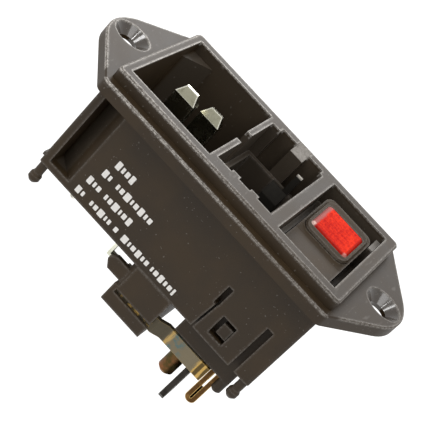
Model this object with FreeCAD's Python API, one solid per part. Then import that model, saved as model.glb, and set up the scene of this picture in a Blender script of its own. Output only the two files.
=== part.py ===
"""Panel power inlet: appliance inlet, fuse drawer bay and lit rocker switch in one moulded housing.

Frame: X runs along the panel cut-out from the inlet to the switch, Y across it, Z out of the panel.
The origin is midway between the two screw holes, on the plane where the flange seats on the panel.
All sizes are in millimetres and degrees. "Near" is the -Y side and "far" the +Y side.
"""
import FreeCAD, Part
import math
import os
from FreeCAD import Vector

X_AXIS, Y_AXIS, Z_AXIS = Vector(1, 0, 0), Vector(0, 1, 0), Vector(0, 0, 1)

# ---- flange, bezel and body of the housing ----
FLANGE_WIDTH = 32.0
FLANGE_THICKNESS = 2.2
SCREW_SPACING = 56.0
SCREW_HOLE_RADIUS = 1.7
COUNTERSINK_RADIUS = 3.25
EAR_MARGIN = 3.8            # material beyond the screw hole's centre
EAR_TIP_RADIUS = 10.0
EAR_ROOT_ROUND = 1.5
FLANGE_BEVEL = 0.2
BEZEL_LENGTH = 46.5
BEZEL_WIDTH = 28.4
BEZEL_HEIGHT = 2.1
BEZEL_CORNER = 0.9
BEZEL_BEVEL = 0.3
BODY_LENGTH = 46.3
BODY_WIDTH = 27.6
BODY_DEPTH = 16.8

# ---- inlet recess and its pins ----
END_PLATE = 1.4
INLET_LENGTH = 16.5
INLET_WIDTH = 24.5
INLET_DEPTH = 16.5
INLET_CHAMFER = 4.5
INLET_FLOOR = 2.0
SHROUD_WALL = 1.3
BACK_PLATE = 1.2
PIN_WIDTH = 4.0
PIN_THICKNESS = 2.0
LIVE_PITCH = 14.0
LIVE_ROW_TO_DIVIDER = 6.05
EARTH_OFFSET = 4.0
EARTH_TIP_BELOW_FRONT = 0.95
LIVE_TIP_BELOW_FRONT = 3.9
PIN_TIP_HEIGHT = 1.65
PIN_TIP_INSET_WIDE = 0.85
PIN_TIP_INSET_THIN = 0.78
PIN_FIT = 0.02

# ---- bays of the fuse drawer and the switch ----
INLET_DIVIDER = 1.0
DIVIDER_NOTCH_WIDTH = 4.2
DIVIDER_NOTCH_DEPTH = 8.0
FUSE_BAY_LENGTH = 11.35
FUSE_BAY_WIDTH = 21.8
SWITCH_DIVIDER = 2.2
SWITCH_BAY_LENGTH = 11.8
SWITCH_BAY_WIDTH = 24.2
RIB_WIDTH = 1.6
RIB_HEIGHT = 0.8
RIB_OFFSETS = (2.9, 6.8)   # from the fuse bay's inlet-side wall
RIB_CLEARANCE = 0.15         # between the ribs and the fuse holder's rim
LATCH_POCKET_DEPTH = 1.3
LATCH_POCKET_HEIGHT = 12.0
PRY_SLOT_OFFSET = 4.9
PRY_SLOT_WIDTH = 2.7
PRY_SLOT_DROP = 1.3

# ---- snap tongues, corner pegs and latch lips of the housing ----
SLIT_WIDTH = 0.9
SLIT_FAR_WIDTH = 1.2
SLIT_THIN = 0.35
SLIT_TOP = -7.4
SLIT_WIDE_LENGTH = 3.8      # of the first slit, before it narrows
TONGUE_WIDTH = 7.4
TONGUE_OVERHANG = 0.5
WINDOW_LENGTH = 2.8
WINDOW_HEIGHT = 3.9
WINDOW_TOP = -11.5
PEG_RADIUS = 1.0
PEG_LENGTH = 4.1
PEG_INSET = 1.1
LIP_REACH = 0.4
LIP_HEIGHT = 0.6

# ---- fuse holder, the moulding behind the fuse bay ----
HOLDER_FIT = 0.05
HOLDER_TOP = -2.0
HOLDER_WALL_X = 0.9
HOLDER_WALL_Y = 0.95
BLOCK_LENGTH = 8.3
BLOCK_DEPTH = 8.8
BLOCK_OFFSET = 2.3         # from the fuse bay's inlet-side wall to the block
BLOCK_WALL = 1.0
BLOCK_FLOOR = 1.3
BLOCK_SKIN = 0.6
BLOCK_BEVEL = 0.95           # of the near and far corners beside the lugs
LUG_LENGTH = 3.4
LUG_HEIGHT = 2.6
LUG_TOP = -18.6
LUG_INSET = 0.5
LUG_DEPTH = 1.0

# ---- strips: bus bars, links and fuse contacts ----
STRIP = 0.8
BUS_WIDTH = 2.8
BUS_TOP = -20.7
BUS_STEP = 0.9
BUS_STEP_START = 0.65        # from the block's end
BUS_STEP_LENGTH = 1.5
BUS_WINDOW = (1.5, 2.3)      # below the bus bar's top edge
BUS_LAP = 1.2                # of the near bus bar's turned end over the folded tab
CONTACT_STRIP = 0.5
CONTACT_WIDTH = 3.2
CONTACT_OFFSET = 6.45         # from the fuse bay's inlet-side wall
CONTACT_TOP = -2.2
CONTACT_EAR_WIDTH = 1.1
CONTACT_EAR_TOP = 1.7
CONTACT_FOOT = 1.4           # below the top of the lug
CONTACT_BOW = 0.7
BOW_START, BOW_LOW, BOW_HIGH = -8.5, -6.0, -4.6
LINK_WIDTH = 1.4
LINK_STRIP = 0.5
LINK_DROP = 1.8              # from the recess's back to the middle of the link
LINK_BEND_GAP = 0.6          # from the lug's end to the link's bend

# ---- switch base ----
BASE_FIT = 0.05
BASE_WALL = 0.85
BASE_TOP = -1.5
BASE_INNER_TOP = 0.3         # of the wall towards the fuse bay
BASE_RIM_TOP = 3.0
BASE_RIM_START = 8.0         # the raised rim keeps to the far corner
BASE_FLOOR_TOP = -14.75
BASE_BOTTOM = -20.5
NUB_HEIGHT = 1.4
NUB_FACE = 2.2
BASE_FOOT_RADIUS = 0.9
BASE_FOOT_LENGTH = 2.6

# ---- rocker ----
ROCKER_TILT = 6.5           # each way from the middle
ROCKER_PIVOT_Z = -4.4
ROCKER_SIDE_GAP = 0.15
ROCKER_HALF_LENGTH = 11.0
ROCKER_VALLEY = 5.15        # pivot to the middle of the top
ROCKER_END_RISE = 1.25
ROCKER_PLATE = 1.4
ROCKER_CHEEK = 1.1
ROCKER_FAR_ROUND = 1.4
TRUNNION_RADIUS = 1.2
TRUNNION_FIT = 0.05
LENS_LENGTH = 6.4
LENS_WIDTH = 7.6
LENS_START = 2.5
LENS_THICKNESS = 1.7
LENS_PROUD = 0.15
SURROUND_START = 1.2
SURROUND_END = 10.6
SURROUND_HEIGHT = 0.5
SURROUND_ROUND = 1.8

# ---- lamp in the rocker ----
LAMP_RADIUS = 1.7
LAMP_Y = 5.6
LAMP_Z = 2.2
RESISTOR_RADIUS = 0.8
RESISTOR_LENGTH = 4.6

# ---- poles of the switch ----
POLE_SPACING = 5.5
PLUNGER_RADIUS = 1.25
PLUNGER_FIT = 0.05
PLUNGER_TUBE_WALL = 0.6
PLUNGER_TIP = -6.6          # from the pivot
PLUNGER_TOP = -1.6
PLUNGER_TUBE_END = -3.4
PLUNGER_BORE_TOP = 3.0
SPRING_WIRE = 0.3
SPRING_TURNS = 4
SPRING_SECTIONS = 12
SPRING_FIT = 0.1            # between the coil and its bore
ARM_PIVOT_Z = -12.15
ARM_WIDTH = 3.0
ARM_THICKNESS = 0.6
ARM_RISE = 0.4              # from the pivot to the arm's underside
ARM_HALF_LENGTH = 8.6
ARM_BEAD_RADIUS = 0.8
ARM_BEAD_FIT = 0.1
CONTACT_RADIUS = 1.25
CONTACT_BUTTON = 0.5
CONTACT_Y = 7.4
CONTACT_GAP = 0.1
TAB_WIDTH = 4.8
EARTH_TAB_WIDTH = 4.8
EARTH_TAB_TIP = -25.0
EARTH_TAB_OFFSET = 2.6      # from the earth pin's axis, towards the end of the housing
TAB_HOLE_RADIUS = 0.7
CENTRE_TAB_TIP = -29.3
LAMP_TAB_TIP = -32.2
LAMP_TAB_Y = -8.6            # middle of the lamp's tab
LAMP_TAB_THICKNESS = 1.0
FOLD_TAB_TIP = -29.0
FOLD_GAP = 0.35
STUD_TIP = -30.0
STUD_RADIUS = 1.4
STUD_BEVEL = 0.5
PAD_LENGTH = 3.2             # of the two pads under the fixed contacts

# ---- positions worked out from the sizes above ----
FRONT = FLANGE_THICKNESS + BEZEL_HEIGHT
INLET_X0 = -BODY_LENGTH / 2 + END_PLATE
INLET_X1 = INLET_X0 + INLET_LENGTH
INLET_FLOOR_Z = FRONT - INLET_DEPTH
LIVE_X = INLET_X1 - LIVE_ROW_TO_DIVIDER
EARTH_X = LIVE_X - EARTH_OFFSET
FUSE_X0 = INLET_X1 + INLET_DIVIDER
FUSE_X1 = FUSE_X0 + FUSE_BAY_LENGTH
SWITCH_X0 = FUSE_X1 + SWITCH_DIVIDER
SWITCH_X1 = SWITCH_X0 + SWITCH_BAY_LENGTH
SWITCH_MID = (SWITCH_X0 + SWITCH_X1) / 2
BODY_Y = BODY_WIDTH / 2
BLOCK_X0 = FUSE_X0 + BLOCK_OFFSET
BLOCK_X1 = BLOCK_X0 + BLOCK_LENGTH
BLOCK_BOTTOM = -BODY_DEPTH - BLOCK_DEPTH
CAVITY_Y = FUSE_BAY_WIDTH / 2 - HOLDER_FIT - HOLDER_WALL_Y
BUS_Y = BODY_Y - BLOCK_SKIN
BUS_BEND_X = BLOCK_X1 + BUS_STEP_START
FOOT_Z = LUG_TOP - CONTACT_FOOT
LINK_Z = INLET_FLOOR_Z - INLET_FLOOR - LINK_DROP
CONTACT_X0 = FUSE_X0 + CONTACT_OFFSET
CONTACT_X1 = CONTACT_X0 + CONTACT_WIDTH
BASE_X0 = SWITCH_X0 + BASE_FIT
BASE_X1 = SWITCH_X1 - BASE_FIT
BASE_Y = SWITCH_BAY_WIDTH / 2 - BASE_FIT
ROCKER_X0 = BASE_X0 + BASE_WALL + ROCKER_SIDE_GAP
ROCKER_X1 = BASE_X1 - BASE_WALL - ROCKER_SIDE_GAP
POLE_X = {"neutral": SWITCH_MID - POLE_SPACING / 2, "line": SWITCH_MID + POLE_SPACING / 2}
SIDE = {"line": -1, "neutral": 1}
BIG = 60.0


# ---- helpers ----
def box(x0, x1, y0, y1, z0, z1):
    return Part.makeBox(x1 - x0, y1 - y0, z1 - z0, Vector(x0, y0, z0))


def polygon(points):
    return Part.Face(Part.makePolygon(points + points[:1]))


def prism_z(points, z0, z1):
    return polygon([Vector(x, y, z0) for x, y in points]).extrude(Vector(0, 0, z1 - z0))


def prism_x(points, x0, x1):
    return polygon([Vector(x0, y, z) for y, z in points]).extrude(Vector(x1 - x0, 0, 0))


def prism_y(points, y0, y1):
    return polygon([Vector(x, y0, z) for x, z in points]).extrude(Vector(0, y1 - y0, 0))


def cylinder(radius, start, direction, length):
    return Part.makeCylinder(radius, length, start, direction)


def fuse(*shapes):
    whole = shapes[0].multiFuse(list(shapes[1:])) if len(shapes) > 1 else shapes[0]
    return whole.removeSplitter()


def cut(shape, *tools):
    return shape.cut(Part.makeCompound(list(tools))).removeSplitter()


def rounded(shape, radius, wanted):
    """Fillet the edges that the test picks by their middle point and direction."""
    edges = []
    for edge in shape.Edges:
        first, last = edge.ParameterRange
        if wanted(edge.valueAt((first + last) / 2), edge.tangentAt((first + last) / 2)):
            edges.append(edge)
    return shape.makeFillet(radius, edges)


def bevelled(shape, size, wanted):
    edges = []
    for edge in shape.Edges:
        first, last = edge.ParameterRange
        if wanted(edge.valueAt((first + last) / 2), edge.tangentAt((first + last) / 2)):
            edges.append(edge)
    return shape.makeChamfer(size, edges)


def upright(_, tangent):
    return abs(tangent.z) > 0.99


def mirrored_y(shape):
    return shape.mirror(Vector(0, 0, 0), Y_AXIS)


def strip_path(points, thickness):
    """Outline of a bent strip: the centreline offset half the thickness to each side, mitred."""
    half = thickness / 2
    left, right = [], []
    for i, (px, pz) in enumerate(points):
        before = points[max(i - 1, 0)]
        after = points[min(i + 1, len(points) - 1)]
        normals = []
        for (ax, az), (bx, bz) in ((before, (px, pz)), ((px, pz), after)):
            length = math.hypot(bx - ax, bz - az)
            if length > 0:
                normals.append((-(bz - az) / length, (bx - ax) / length))
        nx = sum(n[0] for n in normals) / len(normals)
        nz = sum(n[1] for n in normals) / len(normals)
        scale = half / (nx * nx + nz * nz)
        left.append((px + nx * scale, pz + nz * scale))
        right.append((px - nx * scale, pz - nz * scale))
    return left + right[::-1]


def in_rocker(shape, tilt=ROCKER_TILT):
    """Place a shape drawn about the rocker's pivot (Y across, Z up) at the rocker's rest angle."""
    placed = shape.copy()
    placed.rotate(Vector(0, 0, 0), X_AXIS, tilt)
    placed.translate(Vector(0, 0, ROCKER_PIVOT_Z))
    return placed


# ---- housing ----
def ear_outline():
    """Flange outline: straight sides, then lines tangent to the round tip of each ear."""
    tip_x = SCREW_SPACING / 2 + EAR_MARGIN
    centre_x = tip_x - EAR_TIP_RADIUS
    root_x, root_y = BODY_LENGTH / 2, FLANGE_WIDTH / 2
    reach = math.hypot(root_x - centre_x, root_y)
    angle = math.atan2(root_y, root_x - centre_x) - math.acos(EAR_TIP_RADIUS / reach)
    tangent = (centre_x + EAR_TIP_RADIUS * math.cos(angle), EAR_TIP_RADIUS * math.sin(angle))
    edges = []
    for side in (1, -1):
        root_low = Vector(side * root_x, -side * root_y, 0)
        root_high = Vector(side * root_x, side * root_y, 0)
        touch_low = Vector(side * tangent[0], -side * tangent[1], 0)
        touch_high = Vector(side * tangent[0], side * tangent[1], 0)
        edges.append(Part.makeLine(root_low, touch_low))
        edges.append(Part.Arc(touch_low, Vector(side * tip_x, 0, 0), touch_high).toShape())
        edges.append(Part.makeLine(touch_high, root_high))
        edges.append(Part.makeLine(root_high, Vector(-side * root_x, side * root_y, 0)))
    return Part.Face(Part.Wire(edges))


def flange():
    plate = ear_outline().extrude(Vector(0, 0, FLANGE_THICKNESS))
    plate = rounded(plate, EAR_ROOT_ROUND, lambda p, t: upright(p, t) and abs(p.y) > FLANGE_WIDTH / 2 - 0.1)
    plate = bevelled(plate, FLANGE_BEVEL, lambda p, t: p.z > FLANGE_THICKNESS - 0.01)
    sink = COUNTERSINK_RADIUS - SCREW_HOLE_RADIUS
    holes = []
    for x in (-SCREW_SPACING / 2, SCREW_SPACING / 2):
        holes.append(cylinder(SCREW_HOLE_RADIUS, Vector(x, 0, -1), Z_AXIS, FLANGE_THICKNESS + 2))
        holes.append(Part.makeCone(SCREW_HOLE_RADIUS, COUNTERSINK_RADIUS, sink,
                                   Vector(x, 0, FLANGE_THICKNESS - sink), Z_AXIS))
    return cut(plate, *holes)


def bezel():
    block = box(-BEZEL_LENGTH / 2, BEZEL_LENGTH / 2, -BEZEL_WIDTH / 2, BEZEL_WIDTH / 2, FLANGE_THICKNESS - 0.5, FRONT)
    block = rounded(block, BEZEL_CORNER, upright)
    return bevelled(block, BEZEL_BEVEL, lambda p, t: p.z > FRONT - 0.01)


def inlet_outline(grow=0.0):
    """Inlet recess with its two chamfered corners on the earth pin's side."""
    half = INLET_WIDTH / 2 + grow
    x0, x1 = INLET_X0 - grow, INLET_X1 + grow
    leg = INLET_CHAMFER + grow * (2 - math.sqrt(2))
    return [(x0, half - leg), (x0 + leg, half), (x1, half), (x1, -half), (x0 + leg, -half), (x0, leg - half)]


def corner_pocket():
    """Three-sided pocket outside the shroud's chamfer, between the end plate and the near wall."""
    wall_sum = INLET_X0 - INLET_WIDTH / 2 + INLET_CHAMFER - SHROUD_WALL * math.sqrt(2)
    outside = BODY_Y + 1
    corner = [(INLET_X0, -outside), (INLET_X0, wall_sum - INLET_X0), (wall_sum + outside, -outside)]
    return prism_z(corner, -BODY_DEPTH + BACK_PLATE, 0)


def tongue_slits():
    """Slits beside the near snap tongue: a wide one, and one that narrows towards the back."""
    x0 = SWITCH_MID - TONGUE_WIDTH / 2
    x1 = SWITCH_MID + TONGUE_WIDTH / 2
    narrow_z = SLIT_TOP - SLIT_WIDE_LENGTH
    bottom = -BODY_DEPTH - 1
    y0, y1 = -BODY_Y - 1, -SWITCH_BAY_WIDTH / 2 + 0.5
    narrow_x = x0 - SLIT_WIDTH / 2
    wide = box(x0 - SLIT_WIDTH, x0, y0, y1, narrow_z, SLIT_TOP)
    thin = prism_y([(narrow_x, narrow_z + 0.1), (narrow_x + SLIT_THIN, narrow_z + 0.1),
                    (narrow_x - SLIT_WIDTH / 2 + SLIT_THIN, bottom), (narrow_x - SLIT_WIDTH / 2, bottom)], y0, y1)
    other = box(x1, x1 + SLIT_FAR_WIDTH, y0, y1, bottom, SLIT_TOP)
    return [wide, thin, other]


def tongue_tip():
    """The near tongue's end, which stands behind the body's back edge with a bevelled tip."""
    x0 = SWITCH_MID - TONGUE_WIDTH / 2 + 0.3
    x1 = SWITCH_MID + TONGUE_WIDTH / 2 - 0.3
    tip = -BODY_DEPTH - TONGUE_OVERHANG
    return prism_x([(-BODY_Y, -BODY_DEPTH + 0.8), (-BODY_Y + 0.7, tip), (-SWITCH_BAY_WIDTH / 2, tip),
                    (-SWITCH_BAY_WIDTH / 2, -BODY_DEPTH + 0.8)], x0, x1)


def window():
    x0 = SWITCH_MID - 0.6 - WINDOW_LENGTH / 2
    return box(x0, x0 + WINDOW_LENGTH, -BODY_Y - 1, -SWITCH_BAY_WIDTH / 2 + 0.5, WINDOW_TOP - WINDOW_HEIGHT, WINDOW_TOP)


def corner_peg(x):
    """Locating peg behind a near corner: a neck with a barrel head, turned about its own axis."""
    tip, neck = -BODY_DEPTH - PEG_LENGTH, 0.75 * PEG_RADIUS
    profile = [(0, tip), (0.6 * PEG_RADIUS, tip), (PEG_RADIUS, tip + 0.5), (PEG_RADIUS, tip + 1.3), (neck, tip + 1.8),
               (neck, -BODY_DEPTH + 1), (0, -BODY_DEPTH + 1)]
    turned = polygon([Vector(r, 0, z) for r, z in profile]).revolve(Vector(0, 0, 0), Z_AXIS, 360)
    turned.translate(Vector(x, -BODY_Y + PEG_INSET, 0))
    return turned


def far_latch_pocket():
    """Pocket in the fuse bay's far wall, left and right of the pry slot's ramp."""
    y0 = FUSE_BAY_WIDTH / 2
    y1 = y0 + LATCH_POCKET_DEPTH
    ramp_x0 = FUSE_X0 + PRY_SLOT_OFFSET
    ramp_x1 = ramp_x0 + PRY_SLOT_WIDTH
    pocket = box(FUSE_X0 + 1.75, FUSE_X1 - 0.6, y0 - 0.5, y1, FRONT - LATCH_POCKET_HEIGHT, FRONT + 1)
    pocket = cut(pocket, box(ramp_x0, ramp_x1, y0, y1 + 1, FRONT - LATCH_POCKET_HEIGHT - 1, FRONT + 2))
    rim_y = BEZEL_WIDTH / 2 - BEZEL_BEVEL - 0.05
    above_ramp = prism_x([(y0 - 0.5, FRONT - PRY_SLOT_DROP), (rim_y, FRONT), (rim_y, FRONT + 1), (y0 - 0.5, FRONT + 1)],
                         ramp_x0, ramp_x1)
    return [pocket, above_ramp]


def near_ribs():
    """Two flat guide ribs on the fuse bay's near wall, flush with the front, above the holder's rim."""
    y = -FUSE_BAY_WIDTH / 2
    bottom = HOLDER_TOP + RIB_CLEARANCE
    ribs = []
    for offset in RIB_OFFSETS:
        x = FUSE_X0 + offset
        ribs.append(prism_x([(y - 0.5, FRONT), (y + RIB_HEIGHT, FRONT), (y + RIB_HEIGHT, bottom + RIB_HEIGHT), (y, bottom),
                             (y - 0.5, bottom)], x, x + RIB_WIDTH))
    return ribs


def pin_hole(x, y):
    return box(x - PIN_WIDTH / 2 - PIN_FIT, x + PIN_WIDTH / 2 + PIN_FIT, y - PIN_THICKNESS / 2 - PIN_FIT,
               y + PIN_THICKNESS / 2 + PIN_FIT, -BODY_DEPTH, INLET_FLOOR_Z + 1)


def housing():
    body = box(-BODY_LENGTH / 2, BODY_LENGTH / 2, -BODY_Y, BODY_Y, -BODY_DEPTH, FLANGE_THICKNESS / 2)
    body = rounded(body, 0.5, upright)
    outer = fuse(flange(), bezel(), body)
    half_inlet, half_fuse, half_switch = INLET_WIDTH / 2, FUSE_BAY_WIDTH / 2, SWITCH_BAY_WIDTH / 2
    through_back = -BODY_DEPTH - 1
    rear_recess_top = INLET_FLOOR_Z - INLET_FLOOR
    hollows = [
        box(INLET_X0, INLET_X1, -half_inlet, half_inlet, FLANGE_THICKNESS, FRONT + 1),
        prism_z(inlet_outline(), INLET_FLOOR_Z, FLANGE_THICKNESS + 0.1),
        prism_z(inlet_outline(), through_back, rear_recess_top),
        box(FUSE_X0, FUSE_X1, -half_fuse, half_fuse, through_back, FRONT + 1),
        box(SWITCH_X0, SWITCH_X1, -half_switch, half_switch, through_back, FRONT + 1),
        box(INLET_X1 - 1, FUSE_X0 + 1, -DIVIDER_NOTCH_WIDTH / 2, DIVIDER_NOTCH_WIDTH / 2,
            FRONT - DIVIDER_NOTCH_DEPTH, FRONT + 1),
        pin_hole(EARTH_X, 0), pin_hole(LIVE_X, -LIVE_PITCH / 2), pin_hole(LIVE_X, LIVE_PITCH / 2),
        corner_pocket(), mirrored_y(corner_pocket())]
    hollows += far_latch_pocket()
    shell = cut(outer, *hollows)
    tip = tongue_tip()
    shell = fuse(shell, tip, mirrored_y(tip), *near_ribs())
    slots = tongue_slits() + [window()]
    shell = cut(shell, *(slots + [mirrored_y(s) for s in slots]))
    peg_x = BODY_LENGTH / 2 - PEG_INSET + 0.2
    pegs = [corner_peg(-peg_x), corner_peg(peg_x)]
    lip = box(-BODY_LENGTH / 2 - LIP_REACH, -BODY_LENGTH / 2 + 0.2, -BODY_Y + 0.6, -BODY_Y + 2.6,
              -BODY_DEPTH + 0.8, -BODY_DEPTH + 0.8 + LIP_HEIGHT)
    added = pegs + [lip]
    return fuse(shell, *(added + [mirrored_y(a) for a in added]))


# ---- pins ----
def blade_pin(x, y, tip_z, bottom_z):
    """Flat pin with a tip that tapers on all four sides."""
    shoulder = tip_z - PIN_TIP_HEIGHT
    shaft = box(x - PIN_WIDTH / 2, x + PIN_WIDTH / 2, y - PIN_THICKNESS / 2, y + PIN_THICKNESS / 2, bottom_z, shoulder)
    loops = []
    for z, wide_in, thin_in in ((shoulder, 0, 0), (tip_z, PIN_TIP_INSET_WIDE, PIN_TIP_INSET_THIN)):
        hx, hy = PIN_WIDTH / 2 - wide_in, PIN_THICKNESS / 2 - thin_in
        corners = [Vector(x + sx * hx, y + sy * hy, z) for sx, sy in ((-1, -1), (1, -1), (1, 1), (-1, 1))]
        loops.append(Part.makePolygon(corners + corners[:1]))
    return fuse(shaft, Part.makeLoft(loops, True, True))


def tab(x, y0, y1, top_z, tip_z, thickness=STRIP):
    """Flat push-on tab, thin along X, with a bevelled tip and a detent hole."""
    bevel = 1.0
    outline = [(y0, top_z), (y0, tip_z + bevel), (y0 + bevel, tip_z), (y1 - bevel, tip_z),
               (y1, tip_z + bevel), (y1, top_z)]
    blade = prism_x(outline, x - thickness / 2, x + thickness / 2)
    hole = cylinder(TAB_HOLE_RADIUS, Vector(x - thickness, (y0 + y1) / 2, tip_z + 3.2), X_AXIS, 2 * thickness)
    return cut(blade, hole)


def earth_pin():
    """Earth pin, with a foot under the recess's floor that carries the push-on tab."""
    tail_top = INLET_FLOOR_Z - INLET_FLOOR
    tail_x = EARTH_X - EARTH_TAB_OFFSET
    pin = blade_pin(EARTH_X, 0, FRONT - EARTH_TIP_BELOW_FRONT, tail_top - STRIP / 2)
    foot = box(tail_x - STRIP / 2, EARTH_X + PIN_WIDTH / 2, -EARTH_TAB_WIDTH / 2, EARTH_TAB_WIDTH / 2,
               tail_top - STRIP, tail_top)
    tail = tab(tail_x, -EARTH_TAB_WIDTH / 2, EARTH_TAB_WIDTH / 2, tail_top - STRIP / 2, EARTH_TAB_TIP)
    return fuse(pin, foot, tail)


def live_pin(pole):
    """Line or neutral pin, with a thin tenon that is headed over its link."""
    y = SIDE[pole] * LIVE_PITCH / 2
    shoulder = LINK_Z + LINK_STRIP / 2
    tenon = box(LIVE_X - 1.2, LIVE_X + 1.2, y - 0.5, y + 0.5, LINK_Z - LINK_STRIP, shoulder)
    head = box(LIVE_X - 1.5, LIVE_X + 1.5, y - 0.8, y + 0.8, LINK_Z - LINK_STRIP / 2 - 0.5, LINK_Z - LINK_STRIP / 2)
    return fuse(blade_pin(LIVE_X, y, FRONT - LIVE_TIP_BELOW_FRONT, shoulder), tenon, head)


# ---- fuse holder ----
def fuse_holder():
    half = FUSE_BAY_WIDTH / 2 - HOLDER_FIT
    x0, x1 = FUSE_X0 + HOLDER_FIT, FUSE_X1 - HOLDER_FIT
    sleeve = box(x0, x1, -half, half, -BODY_DEPTH - 0.5, HOLDER_TOP)
    block = box(BLOCK_X0, BLOCK_X1, -BODY_Y, BODY_Y, BLOCK_BOTTOM, -BODY_DEPTH)
    block = bevelled(block, 0.35, lambda p, t: p.z < BLOCK_BOTTOM + 0.01 and abs(t.x) > 0.9)
    lug_z = LUG_TOP - LUG_HEIGHT
    corner = prism_z([(BLOCK_X0 - 1, -BODY_Y + BLOCK_BEVEL + 1), (BLOCK_X0 - 1, -BODY_Y - 1),
                      (BLOCK_X0 + BLOCK_BEVEL + 1, -BODY_Y - 1)], BUS_TOP - BUS_WINDOW[0] + 0.6, -BODY_DEPTH)
    block = cut(block, corner, mirrored_y(corner))
    lug_x = BLOCK_X0 - LUG_LENGTH
    lug_y = -BODY_Y + LUG_INSET
    lug = prism_y([(lug_x, LUG_TOP - 0.7), (lug_x, LUG_TOP - 1.3), (lug_x + 0.9, lug_z), (BLOCK_X0 + 0.7, lug_z),
                   (BLOCK_X0 + 0.7, LUG_TOP), (lug_x + 0.9, LUG_TOP)], lug_y, lug_y + LUG_DEPTH)
    whole = fuse(sleeve, block, lug, mirrored_y(lug))
    wide = box(x0 + HOLDER_WALL_X, x1 - HOLDER_WALL_X, -CAVITY_Y, CAVITY_Y, -BODY_DEPTH + 0.8, HOLDER_TOP + 1)
    deep = box(BLOCK_X0 + BLOCK_WALL, BLOCK_X1 - BLOCK_WALL, -CAVITY_Y, CAVITY_Y, BLOCK_BOTTOM + BLOCK_FLOOR, HOLDER_TOP)
    groove_y0, groove_y1 = -CAVITY_Y - CONTACT_STRIP - 0.1, -CAVITY_Y + 0.1
    groove = box(CONTACT_X0 - 0.05, CONTACT_X1 + 0.05, groove_y0, groove_y1, FOOT_Z - 0.5, HOLDER_TOP + 1)
    foot = box(BLOCK_X0 - 1, CONTACT_X0, groove_y0, groove_y1, FOOT_Z - 0.5, FOOT_Z + 0.5)
    bus_low, bus_high = BUS_TOP - BUS_WIDTH - 0.05, BUS_TOP + 0.05
    entry_x = BLOCK_X0 + BLOCK_WALL - 0.1
    bus_slot = box(entry_x, BLOCK_X1 + 1, -BUS_Y, -BUS_Y + STRIP + 0.05, bus_low, bus_high)
    bus_window = box(entry_x, BLOCK_X1 + 1, -BODY_Y - 1, -BUS_Y + 0.1, BUS_TOP - BUS_WINDOW[1], BUS_TOP - BUS_WINDOW[0])
    bus_entry = box(entry_x, entry_x + STRIP + 0.1, -BUS_Y, -CAVITY_Y + 1, bus_low, bus_high)
    half_tools = [groove, foot, bus_slot, bus_window, bus_entry]
    return cut(whole, wide, deep, *(half_tools + [mirrored_y(t) for t in half_tools]))


# ---- strips ----
def live_link(pole):
    """Strip from a live pin's tenon to the fuse holder's block, bent down ahead of the divider."""
    y_out = -INLET_WIDTH / 2 + 0.05
    y_in = y_out + LINK_WIDTH
    drop_x = BLOCK_X0 - LUG_LENGTH - LINK_BEND_GAP
    path = [(LIVE_X - 2.0, LINK_Z), (drop_x, LINK_Z), (drop_x, FOOT_Z), (BLOCK_X0 - 0.05, FOOT_Z)]
    arm = prism_y(strip_path(path, LINK_STRIP), y_out, y_in)
    y = -LIVE_PITCH / 2
    z0, z1 = LINK_Z - LINK_STRIP / 2, LINK_Z + LINK_STRIP / 2
    pad = box(LIVE_X - 2.0, LIVE_X + 2.0, y_in - 0.1, y + 1.4, z0, z1)
    toe = box(BLOCK_X0 - 0.85, BLOCK_X0 - 0.05, y_out, -CAVITY_Y, FOOT_Z - LINK_STRIP / 2, FOOT_Z + LINK_STRIP / 2)
    hole = box(LIVE_X - 1.2, LIVE_X + 1.2, y - 0.5, y + 0.5, z0 - 1, z1 + 1)
    link = cut(fuse(arm, pad, toe), hole)
    return link if pole == "line" else mirrored_y(link)


def front_contact(pole):
    """Leaf that meets the front cap of a fuse, with a narrow ear beside the housing's rib."""
    y = -CAVITY_Y - CONTACT_STRIP / 2
    y0, y1 = y - CONTACT_STRIP / 2, y + CONTACT_STRIP / 2
    path = [(y, FOOT_Z - 0.45), (y, BOW_START), (y + CONTACT_BOW, BOW_LOW), (y + CONTACT_BOW, BOW_HIGH), (y, CONTACT_TOP)]
    leaf = prism_x(strip_path(path, CONTACT_STRIP), CONTACT_X0, CONTACT_X1)
    ear = prism_x(strip_path([(y, CONTACT_TOP - 0.4), (y, CONTACT_EAR_TOP)], CONTACT_STRIP), CONTACT_X1 - CONTACT_EAR_WIDTH,
                  CONTACT_X1)
    foot = box(BLOCK_X0, CONTACT_X0 + 0.1, y0, y1, FOOT_Z - 0.45, FOOT_Z + 0.45)
    contact = fuse(leaf, ear, foot)
    return contact if pole == "line" else mirrored_y(contact)


def bus_path_y(end_x):
    """Centreline in plan of a bus bar along the near side: in along Y, along X, then a small step."""
    outer = -BUS_Y + STRIP / 2
    start_x = BLOCK_X0 + BLOCK_WALL - 0.05 + STRIP / 2
    return [(start_x, -CAVITY_Y + 0.35), (start_x, outer), (BUS_BEND_X, outer),
            (BUS_BEND_X + BUS_STEP_LENGTH, outer + BUS_STEP), (end_x, outer + BUS_STEP)]


def line_busbar():
    """Rear contact of the near fuse and its bar to the switch, with the end turned along the folded tab."""
    end_x = POLE_X["line"] - STRIP - 0.05
    path = bus_path_y(end_x) + [(end_x, -CONTACT_Y - TAB_WIDTH / 2 + BUS_LAP)]
    return prism_z(strip_path(path, STRIP), BUS_TOP - BUS_WIDTH, BUS_TOP)


def neutral_busbar():
    """Rear contact of the far fuse and its bar to the switch's middle terminal."""
    end_x = POLE_X["neutral"] - STRIP / 2 - 0.05 - STRIP / 2
    path = [(x, -y) for x, y in bus_path_y(end_x)] + [(end_x, -TAB_WIDTH / 2)]
    return prism_z(strip_path(path, STRIP), BUS_TOP - BUS_WIDTH, BUS_TOP)


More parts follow.
